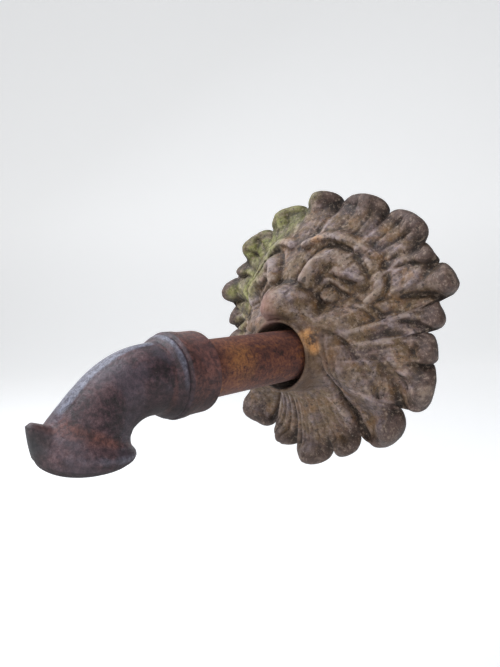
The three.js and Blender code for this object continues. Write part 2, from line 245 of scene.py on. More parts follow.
# %% Carving lines
CARVING = [
    # The ring of hair round the eye, the grooves on both sides of it, its fold.
    ([(10, 134), (24, 140), (40, 142), (54, 138), (68, 129), (81, 117), (92, 103), (100, 88),
      (99, 73), (88, 60)], (5, 6, 6.5, 7.5, 7, 4), (9, 9, 7, 6, 6, 2), 2.8),
    ([(15, 74), (13, 88), (16, 104), (23, 119), (33, 127), (44, 129), (57, 125), (68, 118),
      (78, 108), (86, 95), (88, 81), (80, 70)], (2.8, 3.2, 3.0, 2.6, 2.6), (-3, -4.5, -5, -2.5, -1), 2),
    ([(60, 131), (69, 127), (79, 120), (92, 108)], (1.6, 1.8), (-1.6, -2), 2),
    ([(97, 108), (103, 96), (108, 81), (104, 68), (95, 59)], (3.5, 4, 3.4), (-3, -7, -5), 1.8),
    # The brow roll, a fat comma, and the fold under it.
    ([(26, 76), (25, 85), (28, 97), (34, 109), (45, 115), (58, 113), (71, 105), (79, 93)],
     (9, 9, 9, 9, 8, 6), (11, 14, 14, 13, 9, 4), 2.6),
    ([(31, 77), (35, 87), (42, 97), (50, 103), (60, 105)], (2.4, 2.6, 2), (-2.4, -3.2, -1), 1.8),
    ([(46, 93), (56, 97), (67, 94), (80, 87)], (8, 10, 9, 7), (4, 11, 12, 6), 2.3),
    ([(44, 92), (52, 92), (60, 87), (70, 83), (82, 84)], (2, 2.2, 2), (-1.5, -3.5, -3.5, -2), 1.8),
    # Upper lid, the line under it, and the bag under the eye.
    ([(34, 70), (37, 79), (41, 85), (47, 88), (55, 84), (62, 77), (70, 72)], (3.2, 3.6, 3),
     (1, 3.6, 2.8), 2.2),
    ([(35, 69), (38, 76), (43, 81), (50, 80), (57, 74), (63, 69)], (1.7, 1.8, 1.6), (-1.2, -2.6, -2), 2),
    ([(36, 61), (44, 58), (54, 61), (62, 67)], (2.0, 1.8), (-2, -1.4), 2),
    ([(76, 63), (90, 57), (98, 50), (107, 40)], (2.6, 3), (-4, -5), 1.6),
    ([(72, 56), (86, 51), (97, 39)], (2.4, 2.6), (-3, -4), 1.6),
    # The nose root, the cheekbone, and the fold from the corner of the mouth.
    ([(0, 88), (9, 88), (19, 85), (28, 78), (36, 66), (41, 50)],
     (3.4, 3.6, 4, 4.6), (-3.5, -4, -6, -7), 1.8),
    ([(48, 40), (60, 38), (76, 30), (90, 16), (98, 4)], (9, 12, 8), (3, 8, 4), 2.2),
    ([(50, 31), (57, 28), (66, 22), (76, 11), (84, 0), (91, -9)], (2.6, 3.2, 3), (-1, -5, -2.5), 1.8),
    ([(44, 24), (47, 8), (49, -10), (51, -28), (50, -44), (50, -56), (55, -66), (61, -76),
      (66, -88), (76, -101)], (2.4, 3.4, 4.4, 5, 5), (-4, -10, -14, -16, -15), 1.5),
    ([(52, 24), (56, 4), (58, -14), (58, -30)], (2, 2.4), (-3, -5), 1.5),
    ([(60, 12), (64, -4), (64, -22), (60, -40)], (2, 2.4), (-2, -4), 1.5),
    # The great cheek leaf, its side ridges, and the valley beside it.
    ([(60, 10), (70, 0), (78, -20), (86, -46), (101, -74), (119, -100)],
     (12, 17, 19, 17), (5, 10, 12, 13), 2.6),
    ([(74, 12), (84, -4), (92, -24), (99, -48), (106, -66)], (2, 2.4, 2), (-1.5, -2.4, -1.5), 1.6),
    ([(84, 4), (94, -8), (103, -24), (110, -42), (112, -58)], (3, 3.4), (1, 3.4), 2),
    ([(94, 6), (104, -14), (113, -32), (118, -50), (119, -62)], (6, 8, 8), (-3, -6, -10), 2),
    ([(96, -30), (100, -42), (98, -56)], (1.8, 2), (-2, -3), 1.6),
    # The jaw leaf and the leaf above it.
    ([(108, 16), (120, -2), (134, -18), (148, -36)], (8, 11, 13), (3, 6, 9), 2.6),
    ([(108, -2), (115, -15), (124, -28), (132, -38)], (2, 2.4), (-1.6, -3), 1.6),
    ([(122, -24), (134, -29), (147, -34)], (1.8, 2), (-2, -2.4), 1.6),
    ([(114, 21), (124, 13), (133, 6), (141, -3)], (2.6, 3.4), (-1, -6), 1.6),
    ([(116, 32), (132, 26), (144, 16), (157, 3)], (6, 7), (4, 7), 2.6),
    ([(112, 38), (128, 37), (144, 31), (160, 25)], (2.4, 4), (-2, -9), 1.6),
    ([(104, 44), (122, 48), (144, 46)], (2, 2.2), (-2, -3), 1.6),
    ([(104, 62), (126, 66), (150, 66), (172, 60)], (2.6, 4.6), (-2, -10), 1.6),
    ([(112, 80), (138, 84), (170, 84)], (9, 14), (2, 9), 2.6),
    ([(106, 98), (126, 102), (148, 101), (172, 98)], (2.2, 4), (-3, -9), 1.6),
    # Deep strands of hair between the ring and the upper leaves.
    ([(76, 140), (84, 152), (92, 170)], (2, 3), (-1.5, -5), 1.5),
    ([(62, 142), (70, 158), (76, 176)], (2, 2.6), (-2, -3), 1.5),
    ([(96, 122), (108, 130), (126, 139)], (2.2, 3.2), (-2, -6), 1.5),
    ([(84, 128), (98, 142), (112, 154)], (2, 2.4), (-2, -3.4), 1.5),
    ([(100, 106), (118, 114), (142, 121)], (2, 2.6), (-2.4, -4), 1.5),
    ([(44, 148), (50, 166), (56, 184)], (2, 2.6), (-2, -3), 1.5),
    ([(22, 158), (24, 170), (28, 188)], (2.6, 4), (-1, -5), 1.5),
]
print("strokes on each half of the face", len(CARVING))

# %% Beard, swellings and backing
BEARD = [
    ([(0, -62), (0, -90), (0, -134)], (2.4, 3), (-2, -3), 1.8),
    ([(5, -60), (5, -84), (7, -124)], (1.6, 2), (-1.6, -2), 1.8),
    ([(11, -58), (12, -84), (16, -124)], (2, 2.6), (-2, -3.4), 1.8),
    ([(18, -58), (20, -82), (26, -112), (37, -134)], (2.4, 3.6), (-3, -8), 1.8),
    ([(25, -56), (28, -80), (37, -106), (48, -122)], (1.8, 2.2), (-2.4, -3), 1.8),
    ([(33, -56), (38, -78), (48, -100), (57, -114)], (2, 2.4), (-3, -3), 1.8),
    ([(41, -58), (46, -80), (56, -98), (64, -106)], (1.8, 2), (-2, -2.4), 1.8),
]

EYE_SOCKET = (50, 72, 29, 20, -16)
SWELLINGS = [
    # The eyeball's seat and the eyeball, the brow's end, the temple, the nose.
    (50, 74, 24, 15, 6),
    (46, 70, 8.5, 8, 6),
    (67, 84, 18, 11, 6),
    (82, 98, 9, 14, 4),
    (0, 61, 28, 21, 28),
]

# Where the carving is deep, the hollow behind it drops back too.
BACKING = [
    ([(47, 10), (50, -20), (51, -44), (56, -66)], 14, -11),
    ([(18, 100), (24, 119), (44, 129), (68, 118), (86, 95), (88, 76)], 13, -7),
    ([(17, 84), (37, 62), (40, 48)], 12, -7),
]
print("beard strokes", len(BEARD), "and swellings", len(SWELLINGS))

# %% [markdown]
# ## From strokes to a height
# The ground of the face rises like a low cone from the leaf edge to the root of
# the mouth tube, rounder over the forehead. The carving is added to that ground,
# and so are the knobs of the leaf tips and the rough strands over the leaves.
# The height is a function of the place, so the mesh that asks for it can be as
# fine as it needs to be.

# %% Ground of the face
TUBE_ROOT = 50
TIP_HALF = 7
WALL = 8
FACE_RISE, CHIN_RISE = 104, 76
RING_RADIUS, RING_WIDTH, RING_UP = 118, 10, 34


def face_ground(x, z):
    """The face without its carving, as a height in front of the wall."""
    angle = angle_of(x, z)
    edge = edge_height(x, z) + TIP_HALF - 1
    rise = mix(FACE_RISE, CHIN_RISE, smooth(105, 150, angle))
    s = np.clip((np.hypot(x, z) - TUBE_ROOT) / (notch_reach(angle) - TUBE_ROOT), 0, 1)
    forehead = 1 - smooth(10, 42, angle)
    fall = mix((1 - s) ** 1.4, 1 - s ** 1.45, forehead)
    return mix(edge, rise, fall)


def fine_hair(x, z):
    """Rough strands that fan out over the leaves, from noise drawn out along them."""
    angle, reach = angle_of(x, z), np.hypot(x, z)
    turned = np.degrees(np.arctan2(x, z))
    share = reach / notch_reach(angle)
    out = smooth(0.5, 0.72, share) * (1 - 0.75 * smooth(0.88, 1.02, share))
    draw = np.array([noise.noise((a / 2.0, r / 22, 4.0)) + 0.5 * noise.noise((a / 0.9, r / 7, 9.0))
                     for a, r in zip(turned.ravel(), reach.ravel())]).reshape(x.shape)
    coarse = np.where(x > 0, 1.0, 0.6) * (1 - 0.7 * smooth(85, 105, angle))
    return 2.0 * out * coarse * draw


def back_ring(angle, grow):
    """Reach of the ring on the wall, whose middle is above the mouth's axis."""
    across = RING_UP * np.sin(np.radians(angle))
    return RING_UP * np.cos(np.radians(angle)) + np.sqrt((RING_RADIUS + grow) ** 2 - across ** 2)


def roof(x, z):
    """The hollow behind the face, a wall's thickness under its main forms."""
    height = face_ground(x, z) + swelling(x, z, *EYE_SOCKET) - WALL
    for points, width, depth in BACKING:
        height += stroke(x, z, points, (width, width), (depth, depth), 2.6)
    return height


forehead_point = np.array([0.0]), np.array([120.0])
print("forehead and the hollow behind it", face_ground(*forehead_point), roof(*forehead_point))

# %% Face height
KNOB_INSET = 13


def face_height(x, z):
    """The carved face, as a height in front of the wall."""
    height = face_ground(x, z) + swelling(x, z, *EYE_SOCKET)
    angle, reach = angle_of(x, z), np.hypot(x, z)
    leaf, across = leaf_at(angle)
    share = reach / notch_reach(angle)
    start = np.where((angle > 60) & (angle < 100), 0.7, 0.88)
    height += smooth(start, 1.02, share) * (4 * (1 - across ** 2) - 6 * np.abs(across) ** 5)
    knob_x, knob_z = ((REACH - KNOB_INSET) * f(np.radians(TIP)) for f in (np.sin, np.cos))
    away = np.hypot(np.abs(x) - knob_x[leaf], z - knob_z[leaf]) / KNOB[leaf]
    inward = smooth(2, 10, REACH[leaf] - KNOB_INSET - reach)
    height += 7 * np.exp(-away ** 3) - 1.4 * inward * np.exp(-((away - 1.35) / 0.32) ** 2)
    height += fine_hair(x, z)
    for oval in SWELLINGS:
        height += swelling(x, z, *oval)
    for points, widths, heights, sharp in CARVING:
        height += stroke(x, z, points, widths, heights, sharp)
    combed = mix(1, 0.45, smooth(-8, 8, x))
    for points, widths, heights, sharp in BEARD:
        height += combed * stroke(x, z, points, widths, heights, sharp)
    behind = np.where(reach < back_ring(angle, -RING_WIDTH), roof(x, z),
                      edge_height(x, z) - TIP_HALF)
    return np.maximum(height, behind + 3)


print("carved height on the forehead", face_height(*forehead_point).round(1), "mm")

# %% [markdown]
# ## The mask's skin
# The casting is one closed skin round the mouth, like a tyre. A sculpted block
# would need a hollow cut behind it. Instead, a flat grid is bent into the skin:
# its columns go round the mouth's axis, and its rows go out of the mouth, over
# the face, round the leaf tips and back inside. Both seams are then welded, and
# the hollow behind the face is a real one.

# %% Mask rows
COLUMNS = 620
PIPE_SIDE = 6
PIPE_RADIUS = 30.15
CLEARANCE = 0.3
TUBE_RADIUS, TUBE_HALF, TUBE_END = 41.9, 2.6, 113.4
SEAT_FRONT, SEAT_BACK = 42, 22
EDGE_INSET = 8


def mask_rows():
    """Rings round the mouth's axis, in mm: front, edge, back, hollow and seat."""
    turn_angle = np.linspace(0, 360, COLUMNS, endpoint=False)
    fold = np.minimum(turn_angle, 360 - turn_angle)
    s, c = np.sin(np.radians(turn_angle)), np.cos(np.radians(turn_angle))
    rows = []

    def row(radius, forward, side=0.0):
        radius = np.broadcast_to(radius, s.shape)
        x, z = radius * s, radius * c
        y = -(forward(x, z) if callable(forward) else np.broadcast_to(forward, s.shape))
        rows.append(np.stack([x + side, y, z], 1))

    for t in np.linspace(0, math.pi, 9):
        row(TUBE_RADIUS - TUBE_HALF * math.cos(t), TUBE_END + TUBE_HALF * math.sin(t))
    for t in np.linspace(0, 1, 7)[1:-1]:
        row(mix(TUBE_RADIUS + TUBE_HALF, TUBE_ROOT, t ** 2),
            lambda x, z: mix(TUBE_END, face_height(x, z), t))
    edge = edge_reach(fold)
    for t in np.linspace(0, 1, 114):
        row(mix(TUBE_ROOT, edge - EDGE_INSET, t), face_height)
    leaf_front = -rows[-1][:, 1]
    leaf_back = edge_height(rows[-1][:, 0], rows[-1][:, 2]) - TIP_HALF
    middle, half = (leaf_front + leaf_back) / 2, (leaf_front - leaf_back) / 2
    for t in np.linspace(0, math.pi, 10)[1:]:
        row(edge - EDGE_INSET + EDGE_INSET * math.sin(t), middle + half * math.cos(t))
    skirt = back_ring(fold, 8)
    for t in (0.33, 0.66, 1):
        row(mix(edge - EDGE_INSET, skirt, t), lambda x, z: edge_height(x, z) - TIP_HALF)
    row(back_ring(fold, 4), lambda x, z: (edge_height(x, z) - TIP_HALF) / 2)
    row(back_ring(fold, 0), 0)
    row(back_ring(fold, -RING_WIDTH), 0)

    for t in (0.04, 0.36, 0.7, 1):
        row(mix(back_ring(fold, -RING_WIDTH), TUBE_ROOT + 4, t), roof)
    # The seat that holds the pipe, and the inside of the mouth tube in front of it.
    row(47.3, lambda x, z: roof(x, z) - 6, PIPE_SIDE * 0.3)
    row(PIPE_RADIUS + 9.5, SEAT_FRONT, PIPE_SIDE)
    row(PIPE_RADIUS + 7.5, SEAT_BACK, PIPE_SIDE)
    row(PIPE_RADIUS + CLEARANCE, SEAT_BACK, PIPE_SIDE)
    row(PIPE_RADIUS + CLEARANCE, SEAT_FRONT, PIPE_SIDE)
    row(37.8, lambda x, z: mix(roof(x, z) - 8, 116, 0.2), PIPE_SIDE * 0.25)
    return np.array(rows)


def lumps(points, size_mm, seed):
    """Smooth noise from -1 to 1, with lumps about size_mm wide."""
    shift = Vector((seed, 2.7 * seed, -seed))
    return np.array([noise.noise(Vector(p) / size_mm + shift) for p in points])


# The rows from the mouth tube's end to the leaf edge get a cast surface.
rows = mask_rows()
SEEN_ROWS = slice(9, 140)
skin = rows[SEEN_ROWS].reshape(-1, 3)
rough = 0.9 * lumps(skin, 9, 3) + 0.6 * lumps(skin, 3.4, 8)
rows[SEEN_ROWS, :, 1] -= rough.reshape(rows[SEEN_ROWS].shape[:2])
print("mask rows and columns", rows.shape[:2])

# %% Marks for the rust and dirt, and for painted light and shade
PAINTED_TUBE_SHADE = 4
MARGIN = 10
FACE_ROWS = slice(20, 135)
BLURRED_ROWS = slice(FACE_ROWS.start - MARGIN, FACE_ROWS.stop + MARGIN)
turned = angle_of(rows[:, :, 0], rows[:, :, 2])
tip_mark = smooth(30, 10, edge_reach(turned) - np.hypot(rows[:, :, 0], rows[:, :, 2]))


def blurred(values, reach, times):
    """A box blur over the grid, run a few times, round the columns too."""
    for _ in range(times):
        for axis in (0, 1):
            total = sum(np.roll(values, k, axis) for k in range(-reach, reach + 1))
            values = total / (2 * reach + 1)
    return values


relief = -rows[BLURRED_ROWS, :, 1]
hollow_and_shade = np.zeros(rows.shape[:2])
# Painted shade: the rim and inside of the mouth tube and the hollow behind the face are marked as deep
# hollows, so they are coloured dark.
hollow_and_shade[:3] = PAINTED_TUBE_SHADE
hollow_and_shade[-9:] = PAINTED_TUBE_SHADE
hollow_and_shade[FACE_ROWS] = (blurred(relief, 4, 2) - relief)[MARGIN:-MARGIN]
print("deepest hollow and highest ridge", hollow_and_shade.max().round(1), hollow_and_shade.min().round(1), "mm")

# %% Mask mesh
def link_mesh(name, mesh):
    """Puts a mesh into the scene at the origin, unturned."""
    piece = bpy.data.objects.new(name, mesh)
    bpy.context.scene.collection.objects.link(piece)
    return piece


def bent_grid(name, rows, marks=None):
    """A closed skin from rings of points: a flat grid bent and welded."""
    closed = np.concatenate([rows, rows[:1]], 0)
    closed = np.concatenate([closed, closed[:, :1]], 1)
    n_rows, n_columns = closed.shape[:2]
    bm = bmesh.new()
    bmesh.ops.create_grid(bm, x_segments=n_columns - 1, y_segments=n_rows - 1, size=1)
    mesh = bpy.data.meshes.new(name)
    bm.to_mesh(mesh)
    flat = np.empty(len(mesh.vertices) * 3)
    mesh.vertices.foreach_get("co", flat)
    flat = flat.reshape(-1, 3)
    column = np.rint((flat[:, 0] + 1) / 2 * (n_columns - 1)).astype(int)
    row = np.rint((flat[:, 1] + 1) / 2 * (n_rows - 1)).astype(int)
    mesh.vertices.foreach_set("co", (closed[row, column] * MM).ravel())
    for key, values in (marks or {}).items():
        kept = values[row % len(values), column % values.shape[1]]
        mesh.attributes.new(key, "FLOAT", "POINT").data.foreach_set("value", kept)
    bm.clear()
    bm.from_mesh(mesh)
    bmesh.ops.remove_doubles(bm, verts=bm.verts, dist=1e-6)
    if bm.calc_volume(signed=True) < 0:
        bmesh.ops.reverse_faces(bm, faces=bm.faces)
    bm.to_mesh(mesh)
    bm.free()
    for face in mesh.polygons:
        face.use_smooth = True
    return link_mesh(name, mesh)


mask = bent_grid("mask_casting", rows, {"hollow_and_shade": hollow_and_shade, "tip": tip_mark})
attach(mask, "root")
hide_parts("mask")
print("mask triangles", 2 * len(mask.data.polygons))

# %% [markdown]
# ## The pipe
# The water pipe is plain iron tube that is cut square at both ends, with its
# edges just broken. A cylinder with a Solidify modifier would give nearly the
# same. The bent grid of the mask does it too, with a closed profile taken round
# the pipe's line, and that keeps the broken edges.

# %% Pipe
ROUND = 128


def tube_rows(profile):
    """Rings about the pipe's own line from pairs of radius and forward."""
    t = np.linspace(0, 2 * math.pi, ROUND, endpoint=False)
    return np.array([np.stack([PIPE_SIDE + r * np.sin(t), np.full(ROUND, -f), r * np.cos(t)], 1)
                     for r, f in profile])


PIPE_BORE = 26.25
pipe_profile = [(PIPE_RADIUS - 0.6, 0), (PIPE_RADIUS, 0.6)]
pipe_profile += [(PIPE_RADIUS, f) for f in np.linspace(3, 287, 60)]
pipe_profile += [(PIPE_RADIUS, 289.4), (PIPE_RADIUS - 0.6, 290), (PIPE_BORE, 290), (PIPE_BORE, 0)]
pipe = bent_grid("water_pipe", tube_rows(pipe_profile))
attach(pipe, "root")
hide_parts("pipe")
print("pipe triangles", 2 * len(pipe.data.polygons))

# %% [markdown]
# ## The spout
# The spout is a small hollow casting that was screwed on the pipe: a socket, a
# shoulder, a bend, a beaded lip, and a blunt hook on the lip that a pail hangs
# on. A curve with a bevel would give the bend, but not the collar and the hook.
# So rings are set square to a line that runs straight, bends and runs straight
# again, and the casting's own marks are laid on their radius.

# %% Spout line
BEND = 60
BEND_CENTRE = -308.1
TURN = math.radians(8.9)
down = np.array([-math.sin(TURN), 0, -math.cos(TURN)])
ahead = np.array([0, -1.0, 0])
aside = np.cross(ahead, down)

# Pairs of run along the line and radius. The bend begins where the run is 0.
OUTSIDE = [(-57.8, 38.6), (-57.4, 39.6), (-56, 40.5), (-45, 40.4), (-37, 40.6), (-30, 41.6),
           (-23, 41.8), (-21.6, 41.2), (-20.6, 39.6), (-19.6, 38.7), (-18.4, 39.4), (-17, 39.6),
           (-13, 37.4), (-9, 34.4), (-5, 33.2), (8, 32.6), (30, 31.4), (48, 31.0), (60, 32.6),
           (68, 35.0), (74, 37.6), (78, 40.0), (81.5, 41.7), (85.5, 42.3), (89.5, 41.6),
           (92.6, 39.0), (94.4, 35.2)]
SPOUT_RUNS = np.concatenate([np.linspace(-57.8, -23, 26), np.linspace(-22.6, -8, 36),
                             np.linspace(-7, 40, 36), np.linspace(41, 62, 20),
                             np.linspace(62.5, 94.4, 84)])
SOCKET_FLOOR = -17.1
INSIDE = [(94.6, 31.6), (92.5, 29.4), (86, 28.6), (74, 26.6), (60, PIPE_BORE), (0, PIPE_BORE),
          (SOCKET_FLOOR + 1, PIPE_BORE), (SOCKET_FLOOR, PIPE_BORE),
          (SOCKET_FLOOR, PIPE_RADIUS + CLEARANCE), (-57.4, PIPE_RADIUS + CLEARANCE),
          (-57.8, PIPE_RADIUS + CLEARANCE + 0.4)]


def line_frame(run):
    """The centre of the spout's line at a run, its outside and its direction."""
    a = np.clip(run / BEND, 0, math.pi / 2)
    over = max(run - BEND * math.pi / 2, 0)
    centre = (np.array([PIPE_SIDE, BEND_CENTRE, 0])
              + ahead * (BEND * math.sin(a) + min(run, 0)) + down * (BEND * (1 - math.cos(a)) + over))
    return centre, ahead * math.sin(a) - down * math.cos(a), ahead * math.cos(a) + down * math.sin(a)


print("end of the spout's line", line_frame(SPOUT_RUNS[-1])[0].round(1), "mm")

# %% Spout rings
HOOK_FOOT = 30
HOOK_LEAN = 0.24


def hook_radius(run, t):
    """The pail hook: a blunt fin on the front of the neck above the lip."""
    reach = np.interp(run, [67.5, 71, 73.4, 75.6, 88, 93], [HOOK_FOOT, 33.5, 53, 56, 43.5, HOOK_FOOT])
    width = np.interp(run, [67, 74, 90], [6.5, 6.5, 14])
    side = np.abs(np.where(t > math.pi, t - 2 * math.pi, t)) * 44
    return (reach - HOOK_FOOT) * np.exp(-(side / width) ** 4) + HOOK_FOOT


def ring(run, radius, t, lean=0.0):
    """A ring of points square to the line, shifted back along it by lean."""
    centre, out, along = line_frame(run)
    return (centre + np.outer(radius * np.cos(t), out) + np.outer(radius * np.sin(t), aside)
            - np.outer(lean, along))


def spout_rows():
    """The outside from the socket to the lip, then the bore back to the socket."""
    t = np.linspace(0, 2 * math.pi, ROUND, endpoint=False)
    outside = np.interp(SPOUT_RUNS, *np.array(OUTSIDE).T)
    found = []
    for run, radius in zip(SPOUT_RUNS, outside):
        r = np.full(ROUND, radius)
        lean = 0.0
        fold = np.minimum(t, 2 * math.pi - t)
        r += 0.9 * np.exp(-(fold * 33 / 5.5) ** 4) * smooth(-12, -2, run) * smooth(75, 62, run)
        if run > 40:
            neck, fin = r, hook_radius(run, t)
            r = np.maximum(neck, fin) + 1.8 * np.exp(-np.abs(neck - fin) / 2.2) * (fin > 31)
            lean = HOOK_LEAN * np.maximum(r - radius - 3, 0)
        found.append(ring(run, r, t, lean))
    for run, radius in INSIDE:
        found.append(ring(run, radius, t))
    return np.array(found)


rows_of_spout = spout_rows()
print("spout rings", len(rows_of_spout))

# %% Spout rust and painted sheen
def spout_rust_and_sheen(rows_of):
    """Below nothing where a bluish sheen is painted, above it where rust gathers."""
    t = np.linspace(0, 2 * math.pi, ROUND, endpoint=False)
    fold = np.minimum(t, 2 * math.pi - t)
    signed = np.where(t > math.pi, t - 2 * math.pi, t) * 33
    rust_and_painted_sheen = np.zeros(rows_of.shape[:2])
    for k in range(len(SPOUT_RUNS)):
        run = SPOUT_RUNS[k]
        # The top strip, the shoulder and the lip get a painted bluish highlight; the necks, the inside
        # of the bend and the collar get rust.
        strip = smooth(-32, -14, signed) * smooth(8, 2, signed)
        strip = strip * smooth(-10, 0, run) * smooth(74, 64, run)
        shoulder = np.exp(-((run + 15) / 3.5) ** 2) * (0.45 + 0.55 * np.cos(fold))
        lip = np.exp(-((run - 82) / 5) ** 2) * 0.7
        neck = np.exp(-((run - 69) / 6) ** 2) + 0.8 * np.exp(-((run + 7) / 5) ** 2)
        inner_bend = np.exp(-((fold - math.pi) / 0.9) ** 2) * np.exp(-((run - 14) / 16) ** 2)
        collar = smooth(-20, -24, run)
        rust_and_painted_sheen[k] = neck + 1.2 * inner_bend + 1.1 * collar - 1.6 * strip - 1.2 * shoulder - lip
    return rust_and_painted_sheen


spout = bent_grid("spout_casting", rows_of_spout, {"rust_and_painted_sheen": spout_rust_and_sheen(rows_of_spout)})
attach(spout, "root")
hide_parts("spout")
print("spout triangles", 2 * len(spout.data.polygons))

# %% [markdown]
# ## How the rust is drawn
# Rust could be painted or photographed, but then it would have to be unwrapped.
# Here it is drawn from noise in Object coordinates, which lie fixed in the iron
# and have no seams. Each pattern's size is given in millimetres, as on the real
# iron. Only the finest grit is drawn coarser than it is, about 1 mm instead of a
# few tenths, because it would not show in the render. One function adds a node,
# and the others say what the nodes do together.

# %% Node helper
def linear(hex_colour):
    """A linear colour from an sRGB hex value."""
    out = []
    for i in (0, 2, 4):
        v = int(hex_colour[i:i + 2], 16) / 255
        out.append(v / 12.92 if v <= 0.04045 else ((v + 0.055) / 1.055) ** 2.4)
    return (*out, 1)


def node(material, kind, links, output=0, stops=(), **settings):
    """Adds a node and gives one output. Links are sockets, values or hex colours."""
    made = material.node_tree.nodes.new("ShaderNode" + kind)
    for key, value in settings.items():
        setattr(made, key, value)
    for key, value in links.items():
        if isinstance(value, bpy.types.NodeSocket):
            material.node_tree.links.new(value, made.inputs[key])
        else:
            made.inputs[key].default_value = linear(value) if isinstance(value, str) else value
    if stops:
        elements = made.color_ramp.elements
        elements[0].position, elements[1].position = stops[0][0], stops[-1][0]
        for place, _ in stops[1:-1]:
            elements.new(place)
        for element, (_, colour) in zip(elements, stops):
            element.color = linear(colour)
    return made.outputs[output] if len(made.outputs) else None


def new_material(name):
    """An empty node material."""
    material = bpy.data.materials.new(name)
    material.use_nodes = True
    material.node_tree.nodes.clear()
    return material


print("mid grey in linear light", round(linear("808080")[0], 3))

# %% Patterns on the iron
def grain(material, size_mm, detail=4, rough=0.55, stretch=(1, 1, 1), shift=(0, 0, 0)):
    """Noise whose blobs are about size_mm wide."""
    place = node(material, "TexCoord", {}, "Object")
    place = node(material, "Mapping", {0: place, "Location": shift, "Scale": stretch})
    return node(material, "TexNoise", {"Vector": place, "Scale": 1000 / size_mm / 2,
                                       "Detail": detail, "Roughness": rough}, "Fac")


def place_along(material, axis):
    """Where a point is along x, y or z, in metres."""
    return node(material, "SeparateXYZ", {0: node(material, "TexCoord", {}, "Object")}, axis)


def facing_up(material):
    """1 where the iron looks up, 0 on its sides and -1 underneath."""
    return node(material, "SeparateXYZ", {0: node(material, "NewGeometry", {}, "Normal")}, "Z")


def spot(material, centre_mm, size_mm, most=1.0):
    """The most at a place, falling to nothing at its size from there."""
    place = node(material, "TexCoord", {}, "Object")
    away = node(material, "VectorMath", {0: place, 1: tuple(v * MM for v in centre_mm)}, "Value",
                operation="DISTANCE")
    return node(material, "MapRange", {0: away, 1: size_mm * MM, 2: size_mm * 0.3 * MM, 4: most})


def stain(material, below, over, where, low=0.0, high=1.0, most=1.0):
    """Lays a colour over another, from none of it at low to the most at high."""
    amount = node(material, "MapRange", {0: where, 1: low, 2: high, 4: most})
    return node(material, "Mix", {0: amount, 6: below, 7: over}, 2, data_type="RGBA")


# Rust is an oxide, so the shader isn't metallic and keeps the usual IOR of 1.5.
def finish_iron(material, colour, roughness, bumps):
    """The iron's shader, with bumps as pairs of height and depth in mm."""
    normal = None
    for height, depth in bumps:
        links = {"Strength": 1.0, "Distance": depth * MM, "Height": height}
        if normal is not None:
            links["Normal"] = normal
        normal = node(material, "Bump", links)
    shader = node(material, "BsdfPrincipled", {"Base Color": colour, "Roughness": roughness,
                                               "Normal": normal})
    node(material, "OutputMaterial", {"Surface": shader})
    print(material.name, "has", len(material.node_tree.nodes), "nodes")


# %% [markdown]
# ## Weathered casting of the mask
# The mask is cast iron that has rusted outdoors for years, so nothing on it
# shines. Its ground is grey-brown in patches of violet, ochre and rose. It is
# painted lighter where it stands out, as highlight, and darker in the hollows,
# as dirt and painted shade. The inside of the mouth tube and the undersides are
# painted dark as shade, and the top of the nose has a pinkish painted highlight.
# An orange stain lies beside the mouth, and green algae grows on one side of the
# crown, which stays damp. The mesh carries two marks, one for the hollows and one
# for the tips, and the colours follow them, so that dirt and painted shade lie in
# the carving and not just anywhere.

# %% Mask tones
mask_iron = new_material("weathered_cast_iron")
m = mask_iron
up_mask = place_along(m, 2)
large, patch = grain(m, 34, 4, 0.6), grain(m, 16, 5, 0.62, shift=(3, 1, 7))
medium, fine, grit = grain(m, 6, 5, 0.65), grain(m, 2.5, 4, 0.75), grain(m, 1.3, 3, 0.75)
hollow_and_shade_mm = node(m, "Attribute", {}, "Fac", attribute_name="hollow_and_shade")
# Darker in the hollows from dirt and painted shade, lighter on raised parts from painted highlight.
dirt_shade_and_highlight = node(m, "MapRange", {0: hollow_and_shade_mm, 1: 3.2, 2: -2.6})
mottle = node(m, "MapRange", {0: medium, 3: -0.65, 4: 0.65})
tone = node(m, "Math", {0: dirt_shade_and_highlight, 1: mottle}, operation="ADD")
mask_colour = node(m, "ValToRGB", {0: tone}, stops=[
    (0.0, "33261b"), (0.22, "503c2a"), (0.45, "6c553c"), (0.62, "78624c"), (0.8, "8a7668"),
    (1.0, "a69385")])
violet = node(m, "ValToRGB", {0: tone}, stops=[
    (0.0, "2a2222"), (0.35, "54464a"), (0.65, "6e6065"), (1.0, "9a8c94")])
ochre = node(m, "ValToRGB", {0: tone}, stops=[(0.0, "3f2a16"), (0.4, "80592f"), (1.0, "97714a")])
rosy = node(m, "ValToRGB", {0: tone}, stops=[(0.0, "33241f"), (0.5, "7b5d52"), (1.0, "a8897c")])
mask_colour = stain(m, mask_colour, violet, patch, 0.45, 0.6, 0.75)
mask_colour = stain(m, mask_colour, ochre, grain(m, 12, 6, 0.7, shift=(9, 2, 4)), 0.52, 0.68, 0.75)
mask_colour = stain(m, mask_colour, rosy, grain(m, 5, 5, 0.7, shift=(2, 8, 5)), 0.5, 0.64, 0.5)
mask_colour = stain(m, mask_colour, "7d6a44", grain(m, 7, 5, 0.7, shift=(5, 3, 8)), 0.52, 0.66, 0.25)
print("tones of the mask's iron use", len(m.node_tree.nodes), "nodes")

# %% Dark tips and algae
tip = node(m, "Attribute", {}, "Fac", attribute_name="tip")
dark = node(m, "ValToRGB", {0: tone}, stops=[(0.2, "211610"), (0.6, "3e2c25"), (1.0, "543f38")])
patchy = node(m, "MapRange", {0: patch, 1: 0.24, 2: 0.42, 4: 0.92})
mask_colour = stain(m, mask_colour, dark, tip, 0, 1, patchy)

